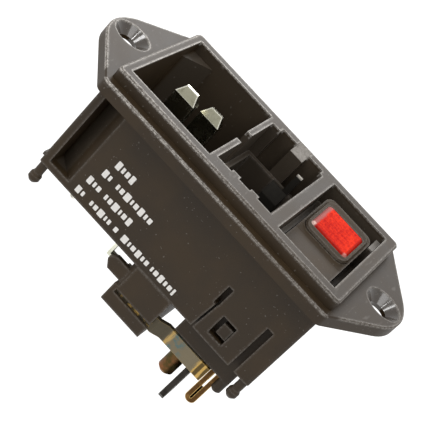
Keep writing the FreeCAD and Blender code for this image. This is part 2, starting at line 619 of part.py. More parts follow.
# ---- switch base ----
def switch_base():
    inner_y = BASE_Y - BASE_WALL
    in_x0, in_x1 = BASE_X0 + BASE_WALL, BASE_X1 - BASE_WALL
    tub = box(BASE_X0, BASE_X1, -BASE_Y, BASE_Y, BASE_BOTTOM, BASE_TOP)
    inner = box(BASE_X0, in_x0, -BASE_Y, BASE_Y, BASE_TOP - 0.5, BASE_INNER_TOP)
    rim = box(in_x1, BASE_X1, BASE_RIM_START, BASE_Y, BASE_TOP - 0.5, BASE_RIM_TOP)
    window_x0 = SWITCH_MID - 0.6 - WINDOW_LENGTH / 2
    nub_top = WINDOW_TOP - 0.9
    nub = prism_x([(-BASE_Y + 0.1, nub_top), (-BASE_Y - NUB_HEIGHT, nub_top), (-BASE_Y - NUB_HEIGHT, nub_top - NUB_FACE),
                   (-BASE_Y + 0.1, WINDOW_TOP - WINDOW_HEIGHT + 0.1)], window_x0 + 0.8, window_x0 + WINDOW_LENGTH - 0.1)
    foot = cylinder(BASE_FOOT_RADIUS, Vector(BASE_X1 - BASE_FOOT_RADIUS, -BASE_Y + BASE_FOOT_RADIUS, BASE_BOTTOM - BASE_FOOT_LENGTH),
                    Z_AXIS, BASE_FOOT_LENGTH + 0.4)
    foot = bevelled(foot, 0.3, lambda p, t: p.z < BASE_BOTTOM - BASE_FOOT_LENGTH + 0.01)
    whole = fuse(tub, inner, rim, nub, mirrored_y(nub), foot, mirrored_y(foot))
    hollow = box(in_x0, in_x1, -inner_y, inner_y, BASE_FLOOR_TOP, BASE_RIM_TOP + 1)
    pivot = cylinder(TRUNNION_RADIUS + TRUNNION_FIT, Vector(BASE_X0 - 1, 0, ROCKER_PIVOT_Z), X_AXIS, SWITCH_BAY_LENGTH + 2)
    slots = []
    for pole, x in POLE_X.items():
        slots.append(terminal_slot(x, -TAB_WIDTH / 2, TAB_WIDTH / 2))
    slots.append(terminal_slot(POLE_X["line"], -CONTACT_Y - TAB_WIDTH / 2, -CONTACT_Y + TAB_WIDTH / 2))
    slots.append(terminal_slot(SWITCH_MID, LAMP_TAB_Y - TAB_WIDTH / 2, LAMP_TAB_Y + TAB_WIDTH / 2, LAMP_TAB_THICKNESS))
    stud = cylinder(STUD_RADIUS + BASE_FIT, Vector(POLE_X["neutral"], -CONTACT_Y, BASE_BOTTOM - 1), Z_AXIS,
                    BASE_FLOOR_TOP - BASE_BOTTOM + 2)
    return cut(whole, hollow, pivot, stud, *slots)


def terminal_slot(x, y0, y1, thickness=STRIP):
    half = thickness / 2 + BASE_FIT
    return box(x - half, x + half, y0 - BASE_FIT, y1 + BASE_FIT, BASE_BOTTOM - 1, BASE_FLOOR_TOP + 1)


# ---- rocker ----
def far_slope(shape):
    """Place a shape drawn flat, with Y along the slope from the valley, on the rocker's far half."""
    placed = shape.copy()
    placed.rotate(Vector(0, 0, 0), X_AXIS, math.degrees(math.atan2(ROCKER_END_RISE, ROCKER_HALF_LENGTH)))
    placed.translate(Vector(0, 0, ROCKER_VALLEY))
    return placed


def lens_block(grow, z0, z1):
    mid = (ROCKER_X0 + ROCKER_X1) / 2
    block = box(mid - LENS_WIDTH / 2 - grow, mid + LENS_WIDTH / 2 + grow, LENS_START - grow,
                LENS_START + LENS_LENGTH + grow, z0, z1)
    return rounded(block, 0.6 + grow, upright)


def rocker():
    end_z = ROCKER_VALLEY + ROCKER_END_RISE
    half = ROCKER_HALF_LENGTH
    profile = [(-half, end_z), (0, ROCKER_VALLEY), (half, end_z), (half - 0.8, 2.2), (half - 2.6, 1.2),
               (2.4, -1.8), (-2.4, -1.8), (2.6 - half, 1.2), (0.8 - half, 2.2)]
    block = prism_x(profile, ROCKER_X0, ROCKER_X1)
    block = rounded(block, ROCKER_FAR_ROUND, lambda p, t: abs(t.x) < 0.1 and p.y > half - 0.8 and 2.2 < p.z < end_z)
    block = bevelled(block, 0.4, lambda p, t: abs(t.x) > 0.9 and p.y < 0 and p.z > end_z - 0.1)
    under = ROCKER_VALLEY - ROCKER_PLATE
    wall_y = half - ROCKER_CHEEK - 0.6
    inside = prism_x([(-wall_y, under + ROCKER_END_RISE), (0, under), (wall_y, under + ROCKER_END_RISE),
                      (wall_y - 0.2, -3), (0.2 - wall_y, -3)], ROCKER_X0 + ROCKER_CHEEK, ROCKER_X1 - ROCKER_CHEEK)
    surround = box(ROCKER_X0 + 0.3, ROCKER_X1 - 0.3, SURROUND_START, SURROUND_END, -0.3, SURROUND_HEIGHT)
    surround = rounded(surround, SURROUND_ROUND, upright)
    surround = bevelled(surround, 0.3, lambda p, t: p.z > SURROUND_HEIGHT - 0.01)
    tubes = []
    bores = []
    for x in POLE_X.values():
        start = Vector(x, 0, PLUNGER_TUBE_END)
        tubes.append(cylinder(PLUNGER_RADIUS + PLUNGER_FIT + PLUNGER_TUBE_WALL, start, Z_AXIS, under - PLUNGER_TUBE_END + 0.5))
        bores.append(cylinder(PLUNGER_RADIUS + PLUNGER_FIT, start - Z_AXIS, Z_AXIS, PLUNGER_BORE_TOP - PLUNGER_TUBE_END + 1))
    trunnion = cylinder(TRUNNION_RADIUS, Vector(BASE_X0 + 0.05, 0, 0), X_AXIS, BASE_X1 - BASE_X0 - 0.1)
    pin_gap = box(ROCKER_X0 + ROCKER_CHEEK, ROCKER_X1 - ROCKER_CHEEK, -2, 2, -2, 2)
    shell = fuse(cut(block, inside), far_slope(surround), cut(trunnion, pin_gap), *tubes)
    opening = far_slope(lens_block(0.0, -LENS_THICKNESS - 1, SURROUND_HEIGHT + 1))
    return in_rocker(cut(shell, opening, *bores))


def rocker_lens():
    """Window that fills the opening, with a crowned edge and a snap rib under the plate."""
    top = SURROUND_HEIGHT + LENS_PROUD
    window_block = lens_block(-0.02, top - LENS_THICKNESS - 0.6, top)
    return in_rocker(far_slope(bevelled(window_block, 0.25, lambda p, t: p.z > top - 0.01)))


def lamp():
    x0 = ROCKER_X0 + ROCKER_CHEEK + 0.05
    length = ROCKER_X1 - ROCKER_X0 - 2 * ROCKER_CHEEK - 0.1
    bulb = cylinder(LAMP_RADIUS, Vector(x0, LAMP_Y, LAMP_Z), X_AXIS, length)
    return in_rocker(bevelled(bulb, 0.7, lambda p, t: abs(t.x) < 0.1))


def lamp_resistor():
    """Series resistor under the lamp, with its leads bent up to the lamp's ends."""
    mid = SWITCH_MID
    z = LAMP_Z - LAMP_RADIUS - RESISTOR_RADIUS - 0.1
    body = cylinder(RESISTOR_RADIUS, Vector(mid - RESISTOR_LENGTH / 2, LAMP_Y, z), X_AXIS, RESISTOR_LENGTH)
    body = bevelled(body, 0.25, lambda p, t: abs(t.x) < 0.1)
    lead = cylinder(0.2, Vector(ROCKER_X0 + ROCKER_CHEEK + 0.1, LAMP_Y, z), X_AXIS, ROCKER_X1 - ROCKER_X0 - 2 * ROCKER_CHEEK - 0.2)
    return in_rocker(fuse(body, lead))


# ---- poles: plunger, spring, arm, contacts and terminals ----
def plunger(pole):
    """Pin with a blunt cone that slides along the arm."""
    x = POLE_X[pole]
    cone = Part.makeCone(0.4 * PLUNGER_RADIUS, PLUNGER_RADIUS, PLUNGER_RADIUS, Vector(x, 0, PLUNGER_TIP), Z_AXIS)
    shaft = cylinder(PLUNGER_RADIUS, Vector(x, 0, PLUNGER_TIP + PLUNGER_RADIUS), Z_AXIS,
                     PLUNGER_TOP - PLUNGER_TIP - PLUNGER_RADIUS)
    return in_rocker(fuse(cone, shaft))


def plunger_spring(pole):
    """Coil spring between the plunger and the bottom of its bore: a loft through sections of its wire."""
    radius = PLUNGER_RADIUS - SPRING_WIRE / 2 - SPRING_FIT
    start = PLUNGER_TOP + SPRING_WIRE / 2 + 0.02
    height = PLUNGER_BORE_TOP - SPRING_WIRE / 2 - 0.02 - start
    count = round(SPRING_TURNS * SPRING_SECTIONS)
    wires = []
    for i in range(count + 1):
        turn = 2 * math.pi * i / SPRING_SECTIONS
        middle = Vector(POLE_X[pole] + radius * math.cos(turn), radius * math.sin(turn), start + height * i / count)
        outward = Vector(math.cos(turn), math.sin(turn), 0) * (SPRING_WIRE / 2)
        corners = []
        for k in range(6):
            corners.append(middle + outward * math.cos(k * math.pi / 3) + Z_AXIS * (SPRING_WIRE / 2 * math.sin(k * math.pi / 3)))
        wires.append(Part.makePolygon(corners + corners[:1]))
    return in_rocker(Part.makeLoft(wires, True, True))


def in_arm(shape):
    """Place a shape drawn about the arm's pivot at its rest angle, opposite to the rocker's."""
    placed = shape.copy()
    placed.rotate(Vector(0, 0, 0), X_AXIS, -ROCKER_TILT)
    placed.translate(Vector(0, 0, ARM_PIVOT_Z))
    return placed


def contact_arm(pole):
    """See-saw strip with a half-round bead that rocks in the middle terminal."""
    x0, x1 = POLE_X[pole] - ARM_WIDTH / 2, POLE_X[pole] + ARM_WIDTH / 2
    strip = box(x0, x1, -ARM_HALF_LENGTH, ARM_HALF_LENGTH - 1.2, ARM_RISE, ARM_RISE + ARM_THICKNESS)
    strip = rounded(strip, 0.8, upright)
    bead = cylinder(ARM_BEAD_RADIUS, Vector(x0, 0, 0), X_AXIS, ARM_WIDTH)
    return in_arm(fuse(strip, bead))


def moving_contact(pole):
    z = ARM_RISE - CONTACT_BUTTON
    return in_arm(cylinder(CONTACT_RADIUS, Vector(POLE_X[pole], -CONTACT_Y, z), Z_AXIS, CONTACT_BUTTON))


def fixed_contact_top():
    """Height of the fixed contact: the moving button's lowest edge when its side of the arm is down."""
    tilt = math.radians(ROCKER_TILT)
    drop = (CONTACT_Y + CONTACT_RADIUS) * math.sin(tilt) - (ARM_RISE - CONTACT_BUTTON) * math.cos(tilt)
    return ARM_PIVOT_Z - drop - CONTACT_GAP


def fixed_contact(pole):
    top = fixed_contact_top()
    return cylinder(CONTACT_RADIUS, Vector(POLE_X[pole], -CONTACT_Y, BASE_FLOOR_TOP + STRIP), Z_AXIS,
                    top - BASE_FLOOR_TOP - STRIP)


def middle_terminal(pole):
    """Tab through the floor, with a trough on top in which the arm's bead rocks."""
    x = POLE_X[pole]
    head_bottom = ARM_PIVOT_Z - 1.3
    head = box(x - ARM_WIDTH / 2, x + ARM_WIDTH / 2, -1.8, 1.8, head_bottom, ARM_PIVOT_Z - 0.1)
    stem = tab(x, -TAB_WIDTH / 2, TAB_WIDTH / 2, head_bottom + 0.1, CENTRE_TAB_TIP)
    trough = cylinder(ARM_BEAD_RADIUS + ARM_BEAD_FIT, Vector(x - ARM_WIDTH, 0, ARM_PIVOT_Z), X_AXIS, 2 * ARM_WIDTH)
    return cut(fuse(head, stem), trough)


def contact_pad(pole):
    x = POLE_X[pole]
    return box(x - ARM_WIDTH / 2, x + ARM_WIDTH / 2, -CONTACT_Y - PAD_LENGTH / 2, -CONTACT_Y + PAD_LENGTH / 2,
               BASE_FLOOR_TOP, BASE_FLOOR_TOP + STRIP)


def folded_terminal():
    """Line terminal: a pad on the floor, and a tab of doubled strip behind the base."""
    x = POLE_X["line"]
    y0, y1 = -CONTACT_Y - TAB_WIDTH / 2, -CONTACT_Y + TAB_WIDTH / 2
    stem = box(x - STRIP / 2, x + STRIP / 2, y0, y1, FOLD_TAB_TIP + STRIP, BASE_FLOOR_TOP + 0.1)
    second_x = x + STRIP / 2 + FOLD_GAP
    second = box(second_x, second_x + STRIP, y0, y1, FOLD_TAB_TIP + STRIP, BASE_BOTTOM - 0.6)
    centre_x, fold_z = x + STRIP / 2 + FOLD_GAP / 2, FOLD_TAB_TIP + STRIP
    fold = cylinder(STRIP + FOLD_GAP / 2, Vector(centre_x, y0, fold_z), Y_AXIS, y1 - y0)
    reach = 2 * (STRIP + FOLD_GAP)
    fold = cut(fold, cylinder(FOLD_GAP / 2, Vector(centre_x, y0 - 1, fold_z), Y_AXIS, TAB_WIDTH + 2),
               box(x - reach, x + reach, y0 - 1, y1 + 1, fold_z, fold_z + reach))
    return fuse(contact_pad("line"), stem, second, fold)


def stud_terminal():
    """Neutral terminal: a pad on the floor and a round stud through it, for a soldered wire."""
    length = BASE_FLOOR_TOP + 0.1 - STUD_TIP
    stud = cylinder(STUD_RADIUS, Vector(POLE_X["neutral"], -CONTACT_Y, STUD_TIP), Z_AXIS, length)
    stud = bevelled(stud, STUD_BEVEL, lambda p, t: p.z < STUD_TIP + 0.01)
    return fuse(contact_pad("neutral"), stud)


def lamp_terminal():
    return tab(SWITCH_MID, LAMP_TAB_Y - TAB_WIDTH / 2, LAMP_TAB_Y + TAB_WIDTH / 2, BASE_FLOOR_TOP, LAMP_TAB_TIP, LAMP_TAB_THICKNESS)


def pieces():
    made = {
        "housing": housing(),
        "earth_pin": earth_pin(),
        "fuse_holder": fuse_holder(),
        "line_busbar": line_busbar(),
        "neutral_busbar": neutral_busbar(),
        "switch_base": switch_base(),
        "rocker": rocker(),
        "rocker_lens": rocker_lens(),
        "lamp": lamp(),
        "lamp_resistor": lamp_resistor(),
        "line_folded_terminal": folded_terminal(),
        "neutral_stud_terminal": stud_terminal(),
        "lamp_terminal": lamp_terminal(),
    }
    for pole in ("line", "neutral"):
        made[pole + "_pin"] = live_pin(pole)
        made[pole + "_link"] = live_link(pole)
        made[pole + "_fuse_contact"] = front_contact(pole)
        made[pole + "_plunger"] = plunger(pole)
        made[pole + "_plunger_spring"] = plunger_spring(pole)
        made[pole + "_contact_arm"] = contact_arm(pole)
        made[pole + "_moving_contact"] = moving_contact(pole)
        made[pole + "_fixed_contact"] = fixed_contact(pole)
        made[pole + "_middle_terminal"] = middle_terminal(pole)
    return made


def main():
    os.makedirs("parts", exist_ok=True)
    for name, shape in pieces().items():
        shape.exportStep("parts/" + name + ".step")
        print(name, "solids", len(shape.Solids), "valid", shape.isValid(), "volume", round(shape.Volume, 2))


main()
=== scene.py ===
"""Panel inlet socket with an open fuse drawer bay and a lit rocker switch: finishes, marking and studio."""

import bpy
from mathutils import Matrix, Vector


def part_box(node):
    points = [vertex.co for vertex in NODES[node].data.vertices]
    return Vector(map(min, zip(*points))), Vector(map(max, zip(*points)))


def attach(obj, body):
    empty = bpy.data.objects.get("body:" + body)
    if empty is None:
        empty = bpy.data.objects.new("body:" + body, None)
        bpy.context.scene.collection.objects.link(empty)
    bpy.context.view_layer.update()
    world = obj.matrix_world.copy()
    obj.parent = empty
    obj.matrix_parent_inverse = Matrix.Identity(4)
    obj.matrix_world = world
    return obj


bl_info = {
    "name": "Panel inlet socket",
    "version": (1, 0, 0),
    "blender": (4, 5, 0),
    "location": "View3D > Sidebar > Inlet",
    "description": "Finishes, marking and studio for a panel inlet socket",
    "category": "Object",
}

import bpy
import math
from mathutils import Matrix, Vector

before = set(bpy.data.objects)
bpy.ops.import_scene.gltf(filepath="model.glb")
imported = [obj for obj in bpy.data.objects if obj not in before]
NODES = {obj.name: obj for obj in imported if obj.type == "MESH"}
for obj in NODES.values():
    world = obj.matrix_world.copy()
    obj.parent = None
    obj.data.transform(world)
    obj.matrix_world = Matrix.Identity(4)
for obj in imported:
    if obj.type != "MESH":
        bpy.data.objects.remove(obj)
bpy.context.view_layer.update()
MM = 0.001
HOUSING_BODY = "inlet_body"
WALL_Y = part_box("fuse_holder")[0][1]    # the fuse holder's end is flush with the housing's near wall
EAR_X = 28.0 * MM                       # screw holes, from the middle
PRY_X = 2.0 * MM                        # middle of the ramp for a pry tool beside the drawer bay

# Where the finishes change, in millimetres: the change starts at the first number and is full at the second.
# On the housing, heights are above the seat plane, and the rest is from the middle, along X or across Y.
RIM_HEIGHT = (3.4, 3.7)                 # the bezel's front face and its bevel
FLANGE_HEIGHT = (1.2, 1.6)              # the flange's front face and its bevel
FLANGE_SIDE = (15.2, 15.5)
BEZEL_END = (24.5, 24.9)
BODY_HEIGHT = (-0.6, -0.2)
BODY_SIDE = (13.1, 13.5)
BODY_END = (22.4, 22.8)
CAVITY_HEIGHT = (3.6, 4.0)
CAVITY_SIDE = (12.0, 12.5)
CAVITY_END = (21.2, 21.7)
# the pale edges fade from the inlet's end to the switch: less wear and less painted highlight
LESS_WORN_AND_LIT = (-20.0, 12.0)               # from the inlet's end to the switch
RAMP_SIDE = (1.25, 1.40)                # from the ramp's middle
RAMP_START = (10.9, 11.1)
RAMP_END = (13.7, 13.9)
RAMP_HEIGHT = (2.8, 3.0)
COUNTERSINK_EDGE = (3.0, 3.3)           # from the screw hole's middle
# On the bus bars, from the middle towards the switch.
STRIP_IN_HOLDER = (6.0, 6.6)
# the strip is painted darker up to here, for the shade of the holder's slot
STRIP_PAINTED_SHADE_END = (9.0, 10.0)
# the first bend gets painted gold highlights
BEND_START = (9.2, 9.6)
BEND_END = (10.0, 10.4)
STAIN_START = (9.8, 10.4)
STAIN_END = (12.2, 13.2)
BANDS_START = (16.0, 16.4)
BAND_PITCH = 1.1
# On the rocker's window.
WINDOW_EDGE = (-0.5, -0.2)              # from the edge, inwards where negative
WINDOW_CORNER = (-0.7, -0.4)
WINDOW_PALE_END = (0.8, 1.3)            # from the inlet's end of the window
PRISM_PITCH = 0.6


# ---- shader graphs ----
class Value:
    """An output of a shader graph, on which Python's arithmetic makes Math nodes."""

    def __init__(self, graph, socket):
        self.graph = graph
        self.socket = socket

    def __add__(self, other):
        return self.graph.maths("ADD", self, other)

    def __sub__(self, other):
        return self.graph.maths("SUBTRACT", self, other)

    def __rsub__(self, other):
        return self.graph.maths("SUBTRACT", other, self)

    def __mul__(self, other):
        return self.graph.maths("MULTIPLY", self, other)

    def __pow__(self, other):
        return self.graph.maths("POWER", self, other)

    def __abs__(self):
        return self.graph.maths("ABSOLUTE", self)

    __radd__ = __add__
    __rmul__ = __mul__


class Graph:
    """Node tree of one material or world, built by adding nodes with their settings and inputs."""

    def __init__(self, owner):
        self.owner = owner
        owner.use_nodes = True
        self.tree = owner.node_tree
        self.tree.nodes.clear()

    @classmethod
    def of_material(cls, name):
        return cls(bpy.data.materials.new(name))

    def add(self, kind, settings=None, inputs=None, output=0):
        node = self.tree.nodes.new(kind)
        for key, value in (settings or {}).items():
            setattr(node, key, value)
        for key, value in (inputs or {}).items():
            if isinstance(value, Value):
                self.tree.links.new(value.socket, node.inputs[key])
            else:
                node.inputs[key].default_value = value
        return Value(self, node.outputs[output])

    def finish(self, shader, output="ShaderNodeOutputMaterial"):
        """Wire a shader to the output. Returns the material or world."""
        self.tree.links.new(shader.socket, self.tree.nodes.new(output).inputs["Surface"])
        return self.owner

    def maths(self, operation, *values):
        return self.add("ShaderNodeMath", {"operation": operation}, dict(enumerate(values)))

    def largest(self, a, b):
        return self.maths("MAXIMUM", a, b)

    def smallest(self, a, b):
        return self.maths("MINIMUM", a, b)

    def fade(self, value, low, high):
        """0 below low, 1 above high, smooth between them."""
        return self.add("ShaderNodeMapRange", {"interpolation_type": "SMOOTHSTEP"},
                        {"Value": value, "From Min": low, "From Max": high})

    def past(self, value, limits, start=0.0):
        """0 before the first limit and 1 past the second. The limits are in millimetres, from the start."""
        return self.fade(value, start + limits[0] * MM, start + limits[1] * MM)

    def short_of(self, value, limits, start=0.0):
        return 1.0 - self.past(value, limits, start)

    def place(self):
        """The surface point in the object's own coordinates."""
        return self.add("ShaderNodeTexCoord", output=3)

    def outputs_of(self, value, *keys):
        """Other outputs of the node that a value comes from."""
        return [Value(self, value.socket.node.outputs[key]) for key in keys]

    def axes(self):
        """The three coordinates of the surface point."""
        return self.outputs_of(self.add("ShaderNodeSeparateXYZ", inputs={0: self.place()}), 0, 1, 2)

    def noise(self, scale, detail=2.0, rough=0.5, at=None):
        return self.add("ShaderNodeTexNoise", None, {"Vector": at or self.place(), "Scale": scale,
                                                     "Detail": detail, "Roughness": rough})

    def stretched(self, factors):
        return self.add("ShaderNodeMapping", None, {"Vector": self.place(), "Scale": factors})

    def blend_colour(self, factor, a, b):
        return self.add("ShaderNodeMix", {"data_type": "RGBA"}, {0: factor, 6: a, 7: b}, output=2)

    def mix_shaders(self, factor, first, second):
        """Mix of two shaders. None in place of the first one is black."""
        inputs = {0: factor, 2: second}
        if first is not None:
            inputs[1] = first
        return self.add("ShaderNodeMixShader", None, inputs)

    def bump(self, height, strength, distance):
        return self.add("ShaderNodeBump", None,
                        {"Height": height, "Strength": strength, "Distance": distance})

    def edges(self, radius):
        """Near 0 on flat faces and higher on edges, within a radius of them."""
        round_normal = self.add("ShaderNodeBevel", {"samples": 6}, {"Radius": radius})
        true_normal = self.add("ShaderNodeNewGeometry", output=1)
        agree = self.add("ShaderNodeVectorMath", {"operation": "DOT_PRODUCT"},
                         {0: round_normal, 1: true_normal}, output=1)
        return 1.0 - agree

    def surface(self, **sockets):
        """Principled shader with the named sockets, wired to the output. Underscores stand for spaces."""
        return self.finish(self.add("ShaderNodeBsdfPrincipled", None,
                                    {key.replace("_", " "): value for key, value in sockets.items()}))


def colour(rgb, share=1.0):
    return (rgb[0] * share, rgb[1] * share, rgb[2] * share, 1.0)


# ---- finishes ----
def plastic_parts(name):
    """What the plastics share: graph, coordinates, uneven patches, broken-up edges and pale flecks, which are
    painted glints.
    """
    g = Graph.of_material(name)
    patches = g.noise(160.0, 3.0, 0.55)
    crumbs = g.fade(g.noise(2600.0, 2.0, 0.7), 0.36, 0.60)
    edge = g.fade(g.edges(0.6 * MM), 0.006, 0.05) * (0.3 + 0.7 * crumbs)
    # pale flecks: painted glints
    painted_glint_flecks = g.fade(g.noise(2300.0, 1.0, 0.4), 0.73, 0.78) * 0.09
    return g, g.axes(), patches, edge, painted_glint_flecks


def plastic_tone(g, base, patches):
    return g.blend_colour(g.fade(patches, 0.35, 0.7), colour(base), colour(base, 1.35))


def plastic_surface(g, tone, pale_wear_and_highlight, wear_and_highlight, rough, polish=0.0):
    # the pale colour stands for wear and also for painted highlights and glints
    shade = g.blend_colour(g.smallest(wear_and_highlight, 1.0), tone, colour(pale_wear_and_highlight))
    roughness = g.smallest(g.largest(rough + wear_and_highlight * 0.08, 0.1), 0.8)
    return g.surface(Base_Color=shade, Roughness=roughness, Specular_IOR_Level=0.33,
                     Coat_Weight=polish, Coat_Roughness=0.1,
                     Normal=g.bump(g.noise(5200.0, 3.0, 0.6), 0.35, 0.04 * MM))


def moulded_plastic(name, base, pale_wear_and_highlight, wear, rough, painted_fill=None, painted_fill_above=0.0, paler_above=1.0):
    """Black moulded plastic with a fine grain, a few pale flecks that are painted glints and edges that are
    rubbed a little, partly as painted highlights.

    Above one height it takes a paler tone, painted light that lifts the shade there, and above another it is
    paler all over."""
    g, (x, y, z), patches, edge, painted_glint_flecks = plastic_parts(name)
    wear_and_highlight = edge * wear + painted_glint_flecks * 0.5 + 0.22 * g.past(z, (0.0, 0.1), paler_above)
    tone = plastic_tone(g, base, patches)
    if painted_fill is not None:
        # paler tone above a height: painted light lifting the shade inside
        tone = g.blend_colour(g.past(z, (0.0, 0.2), painted_fill_above), tone, colour(painted_fill))
    return plastic_surface(g, tone, pale_wear_and_highlight, wear_and_highlight, rough + patches * 0.12)


def housing_plastic(name, base, painted_fill, pale_wear_and_highlight):
    """The housing's plastic.

    Its rims and ears are rubbed pale at the edges, more so at the inlet's end, and these pale edges are partly
    painted highlights. The cavities take a paler tone, painted light that lifts their shade, the drawer's pry
    ramp is scraped pale and partly carries a painted highlight, and the countersinks are polished by their
    screws."""
    g, (x, y, z), patches, edge, painted_glint_flecks = plastic_parts(name)
    across, along = abs(y), abs(x)
    rim = g.past(z, RIM_HEIGHT)
    ears = g.past(z, FLANGE_HEIGHT) * g.largest(g.past(across, FLANGE_SIDE), g.past(along, BEZEL_END))
    body_walls = g.largest(g.past(across, BODY_SIDE), g.past(along, BODY_END))
    body = 0.10 * g.short_of(z, BODY_HEIGHT) * body_walls
    # inside the cavities the tone is paler: painted light lifting their shade
    inside = g.short_of(along, CAVITY_END) * g.short_of(across, CAVITY_SIDE) * g.short_of(z, CAVITY_HEIGHT)
    # the pry ramp is scraped pale, partly as a painted highlight
    ramp_scrape_and_highlight = g.short_of(abs(x - PRY_X), RAMP_SIDE) * g.past(y, RAMP_START) * g.short_of(y, RAMP_END)
    ramp_scrape_and_highlight = ramp_scrape_and_highlight * g.past(z, RAMP_HEIGHT)
    polished = g.short_of(g.maths("SQRT", (along - EAR_X) ** 2.0 + y * y), COUNTERSINK_EDGE)

    # more pale edge, wear and painted highlight together, towards the inlet's end
    towards_inlet = 0.85 - 0.5 * g.past(x, LESS_WORN_AND_LIT)
    rims_and_ears = g.largest(rim, ears)
    scuffs = g.fade(g.noise(900.0, 2.0, 0.6, g.stretched((1.0, 0.25, 1.0))), 0.60, 0.74) * 0.06
    wear_and_highlight = edge * g.largest(rims_and_ears * towards_inlet, body) + scuffs * rims_and_ears + painted_glint_flecks
    wear_and_highlight = g.largest(wear_and_highlight, ramp_scrape_and_highlight * (0.12 + 0.36 * g.noise(2600.0, 2.0, 0.7)))
    tone = g.blend_colour(inside, plastic_tone(g, base, patches), colour(painted_fill))
    return plastic_surface(g, tone, pale_wear_and_highlight, wear_and_highlight, 0.48 + patches * 0.12 - 0.30 * polished, polished)


def struck_metal(name, base, dark, rough, cut, tarnished=0.5, edge_width=0.18):
    """Stamped sheet metal: rolling lines along the strip, tarnish in patches and brighter cut edges, which on
    the pins are painted highlights.
    """
    g = Graph.of_material(name)
    lines = g.noise(2600.0, 2.0, 0.5, g.stretched((0.12, 1.0, 1.0)))
    tarnish = g.fade(g.noise(420.0, 3.0, 0.6), 0.62 - 0.4 * tarnished, 0.92 - 0.4 * tarnished)
    fine = g.noise(1900.0, 2.0, 0.6)
    edge = g.fade(g.edges(edge_width * MM) * (0.6 + fine * 0.8), 0.008, 0.05)
    tone = g.blend_colour(g.smallest(tarnish * 0.8 + fine * 0.25, 1.0), colour(base), colour(dark))
    return g.surface(Base_Color=g.blend_colour(edge * 0.9, tone, colour(cut)), Metallic=1.0,
                     Roughness=rough + tarnish * 0.15 + lines * 0.06,
                     Normal=g.bump(lines, 0.2, 0.03 * MM))


def contact_leaf_painted_shade(name, base, painted_highlight, glint_above):
    """Spring leaf darkened as painted shade, with a painted glint on its upper end."""
    g = Graph.of_material(name)
    x, y, z = g.axes()
    fine = g.noise(1900.0, 2.0, 0.6)
    # dark leaf colour is painted shade; above a height it takes a painted glint
    painted_shade_tone = g.blend_colour(fine, colour(base), colour(base, 0.6))
    return g.surface(Base_Color=g.blend_colour(g.past(z, (0.0, 0.2), glint_above), painted_shade_tone, colour(painted_highlight)),
                     Metallic=0.6, Roughness=0.45 + fine * 0.2)


def soldered_strip(name, base, gold, stain):
    """Dull plated strip, a darker copy near the holder as painted shade, with gold patches in the holder,
    painted gold highlights on its edges and in its first bend, and bands at its end.
    """
    g = Graph.of_material(name)
    x, y, z = g.axes()
    lines = g.noise(2600.0, 2.0, 0.5, g.stretched((0.12, 1.0, 1.0)))
    streaks = g.noise(1500.0, 3.0, 0.65, g.stretched((1.0, 1.0, 0.15)))
    blue = g.fade(g.noise(900.0, 2.0, 0.6), 0.45, 0.62) * g.past(x, STAIN_START) * g.short_of(x, STAIN_END)
    gilded = g.short_of(x, STRIP_IN_HOLDER) * g.fade(g.noise(1100.0, 3.0, 0.65), 0.42, 0.62)
    # painted highlight in the first bend
    bend_highlight = g.past(x, BEND_START) * g.short_of(x, BEND_END) * g.fade(streaks, 0.42, 0.55)
    banded = g.past(x + streaks * (1.2 * MM), BANDS_START)
    waves = g.maths("SINE", x * (2 * math.pi / (BAND_PITCH * MM)))
    bands = g.blend_colour(g.fade(streaks + 0.25 * waves, 0.42, 0.68), colour(gold, 0.16), colour(gold, 0.85))
    edge = g.fade(g.edges(0.18 * MM), 0.04, 0.15)
    tone = g.blend_colour(blue * 0.7, colour(base), colour(stain))
    # darker copy of the plate near the holder: painted shade
    tone = g.blend_colour(g.short_of(x, STRIP_PAINTED_SHADE_END), tone, colour(base, 0.45))
    tone = g.blend_colour(gilded, tone, colour(gold, 0.9))
    tone = g.blend_colour(banded, tone, bands)
    # painted highlights on the edges and in the bend
    painted_highlight = g.smallest(g.largest(edge * (0.3 + 0.5 * banded), bend_highlight * 0.6), 1.0)
    return g.surface(Base_Color=g.blend_colour(painted_highlight, tone, colour(gold)), Metallic=0.7,
                     Roughness=0.42 + streaks * 0.15 + lines * 0.08,
                     Normal=g.bump(lines + streaks * 0.5, 0.3, 0.04 * MM))


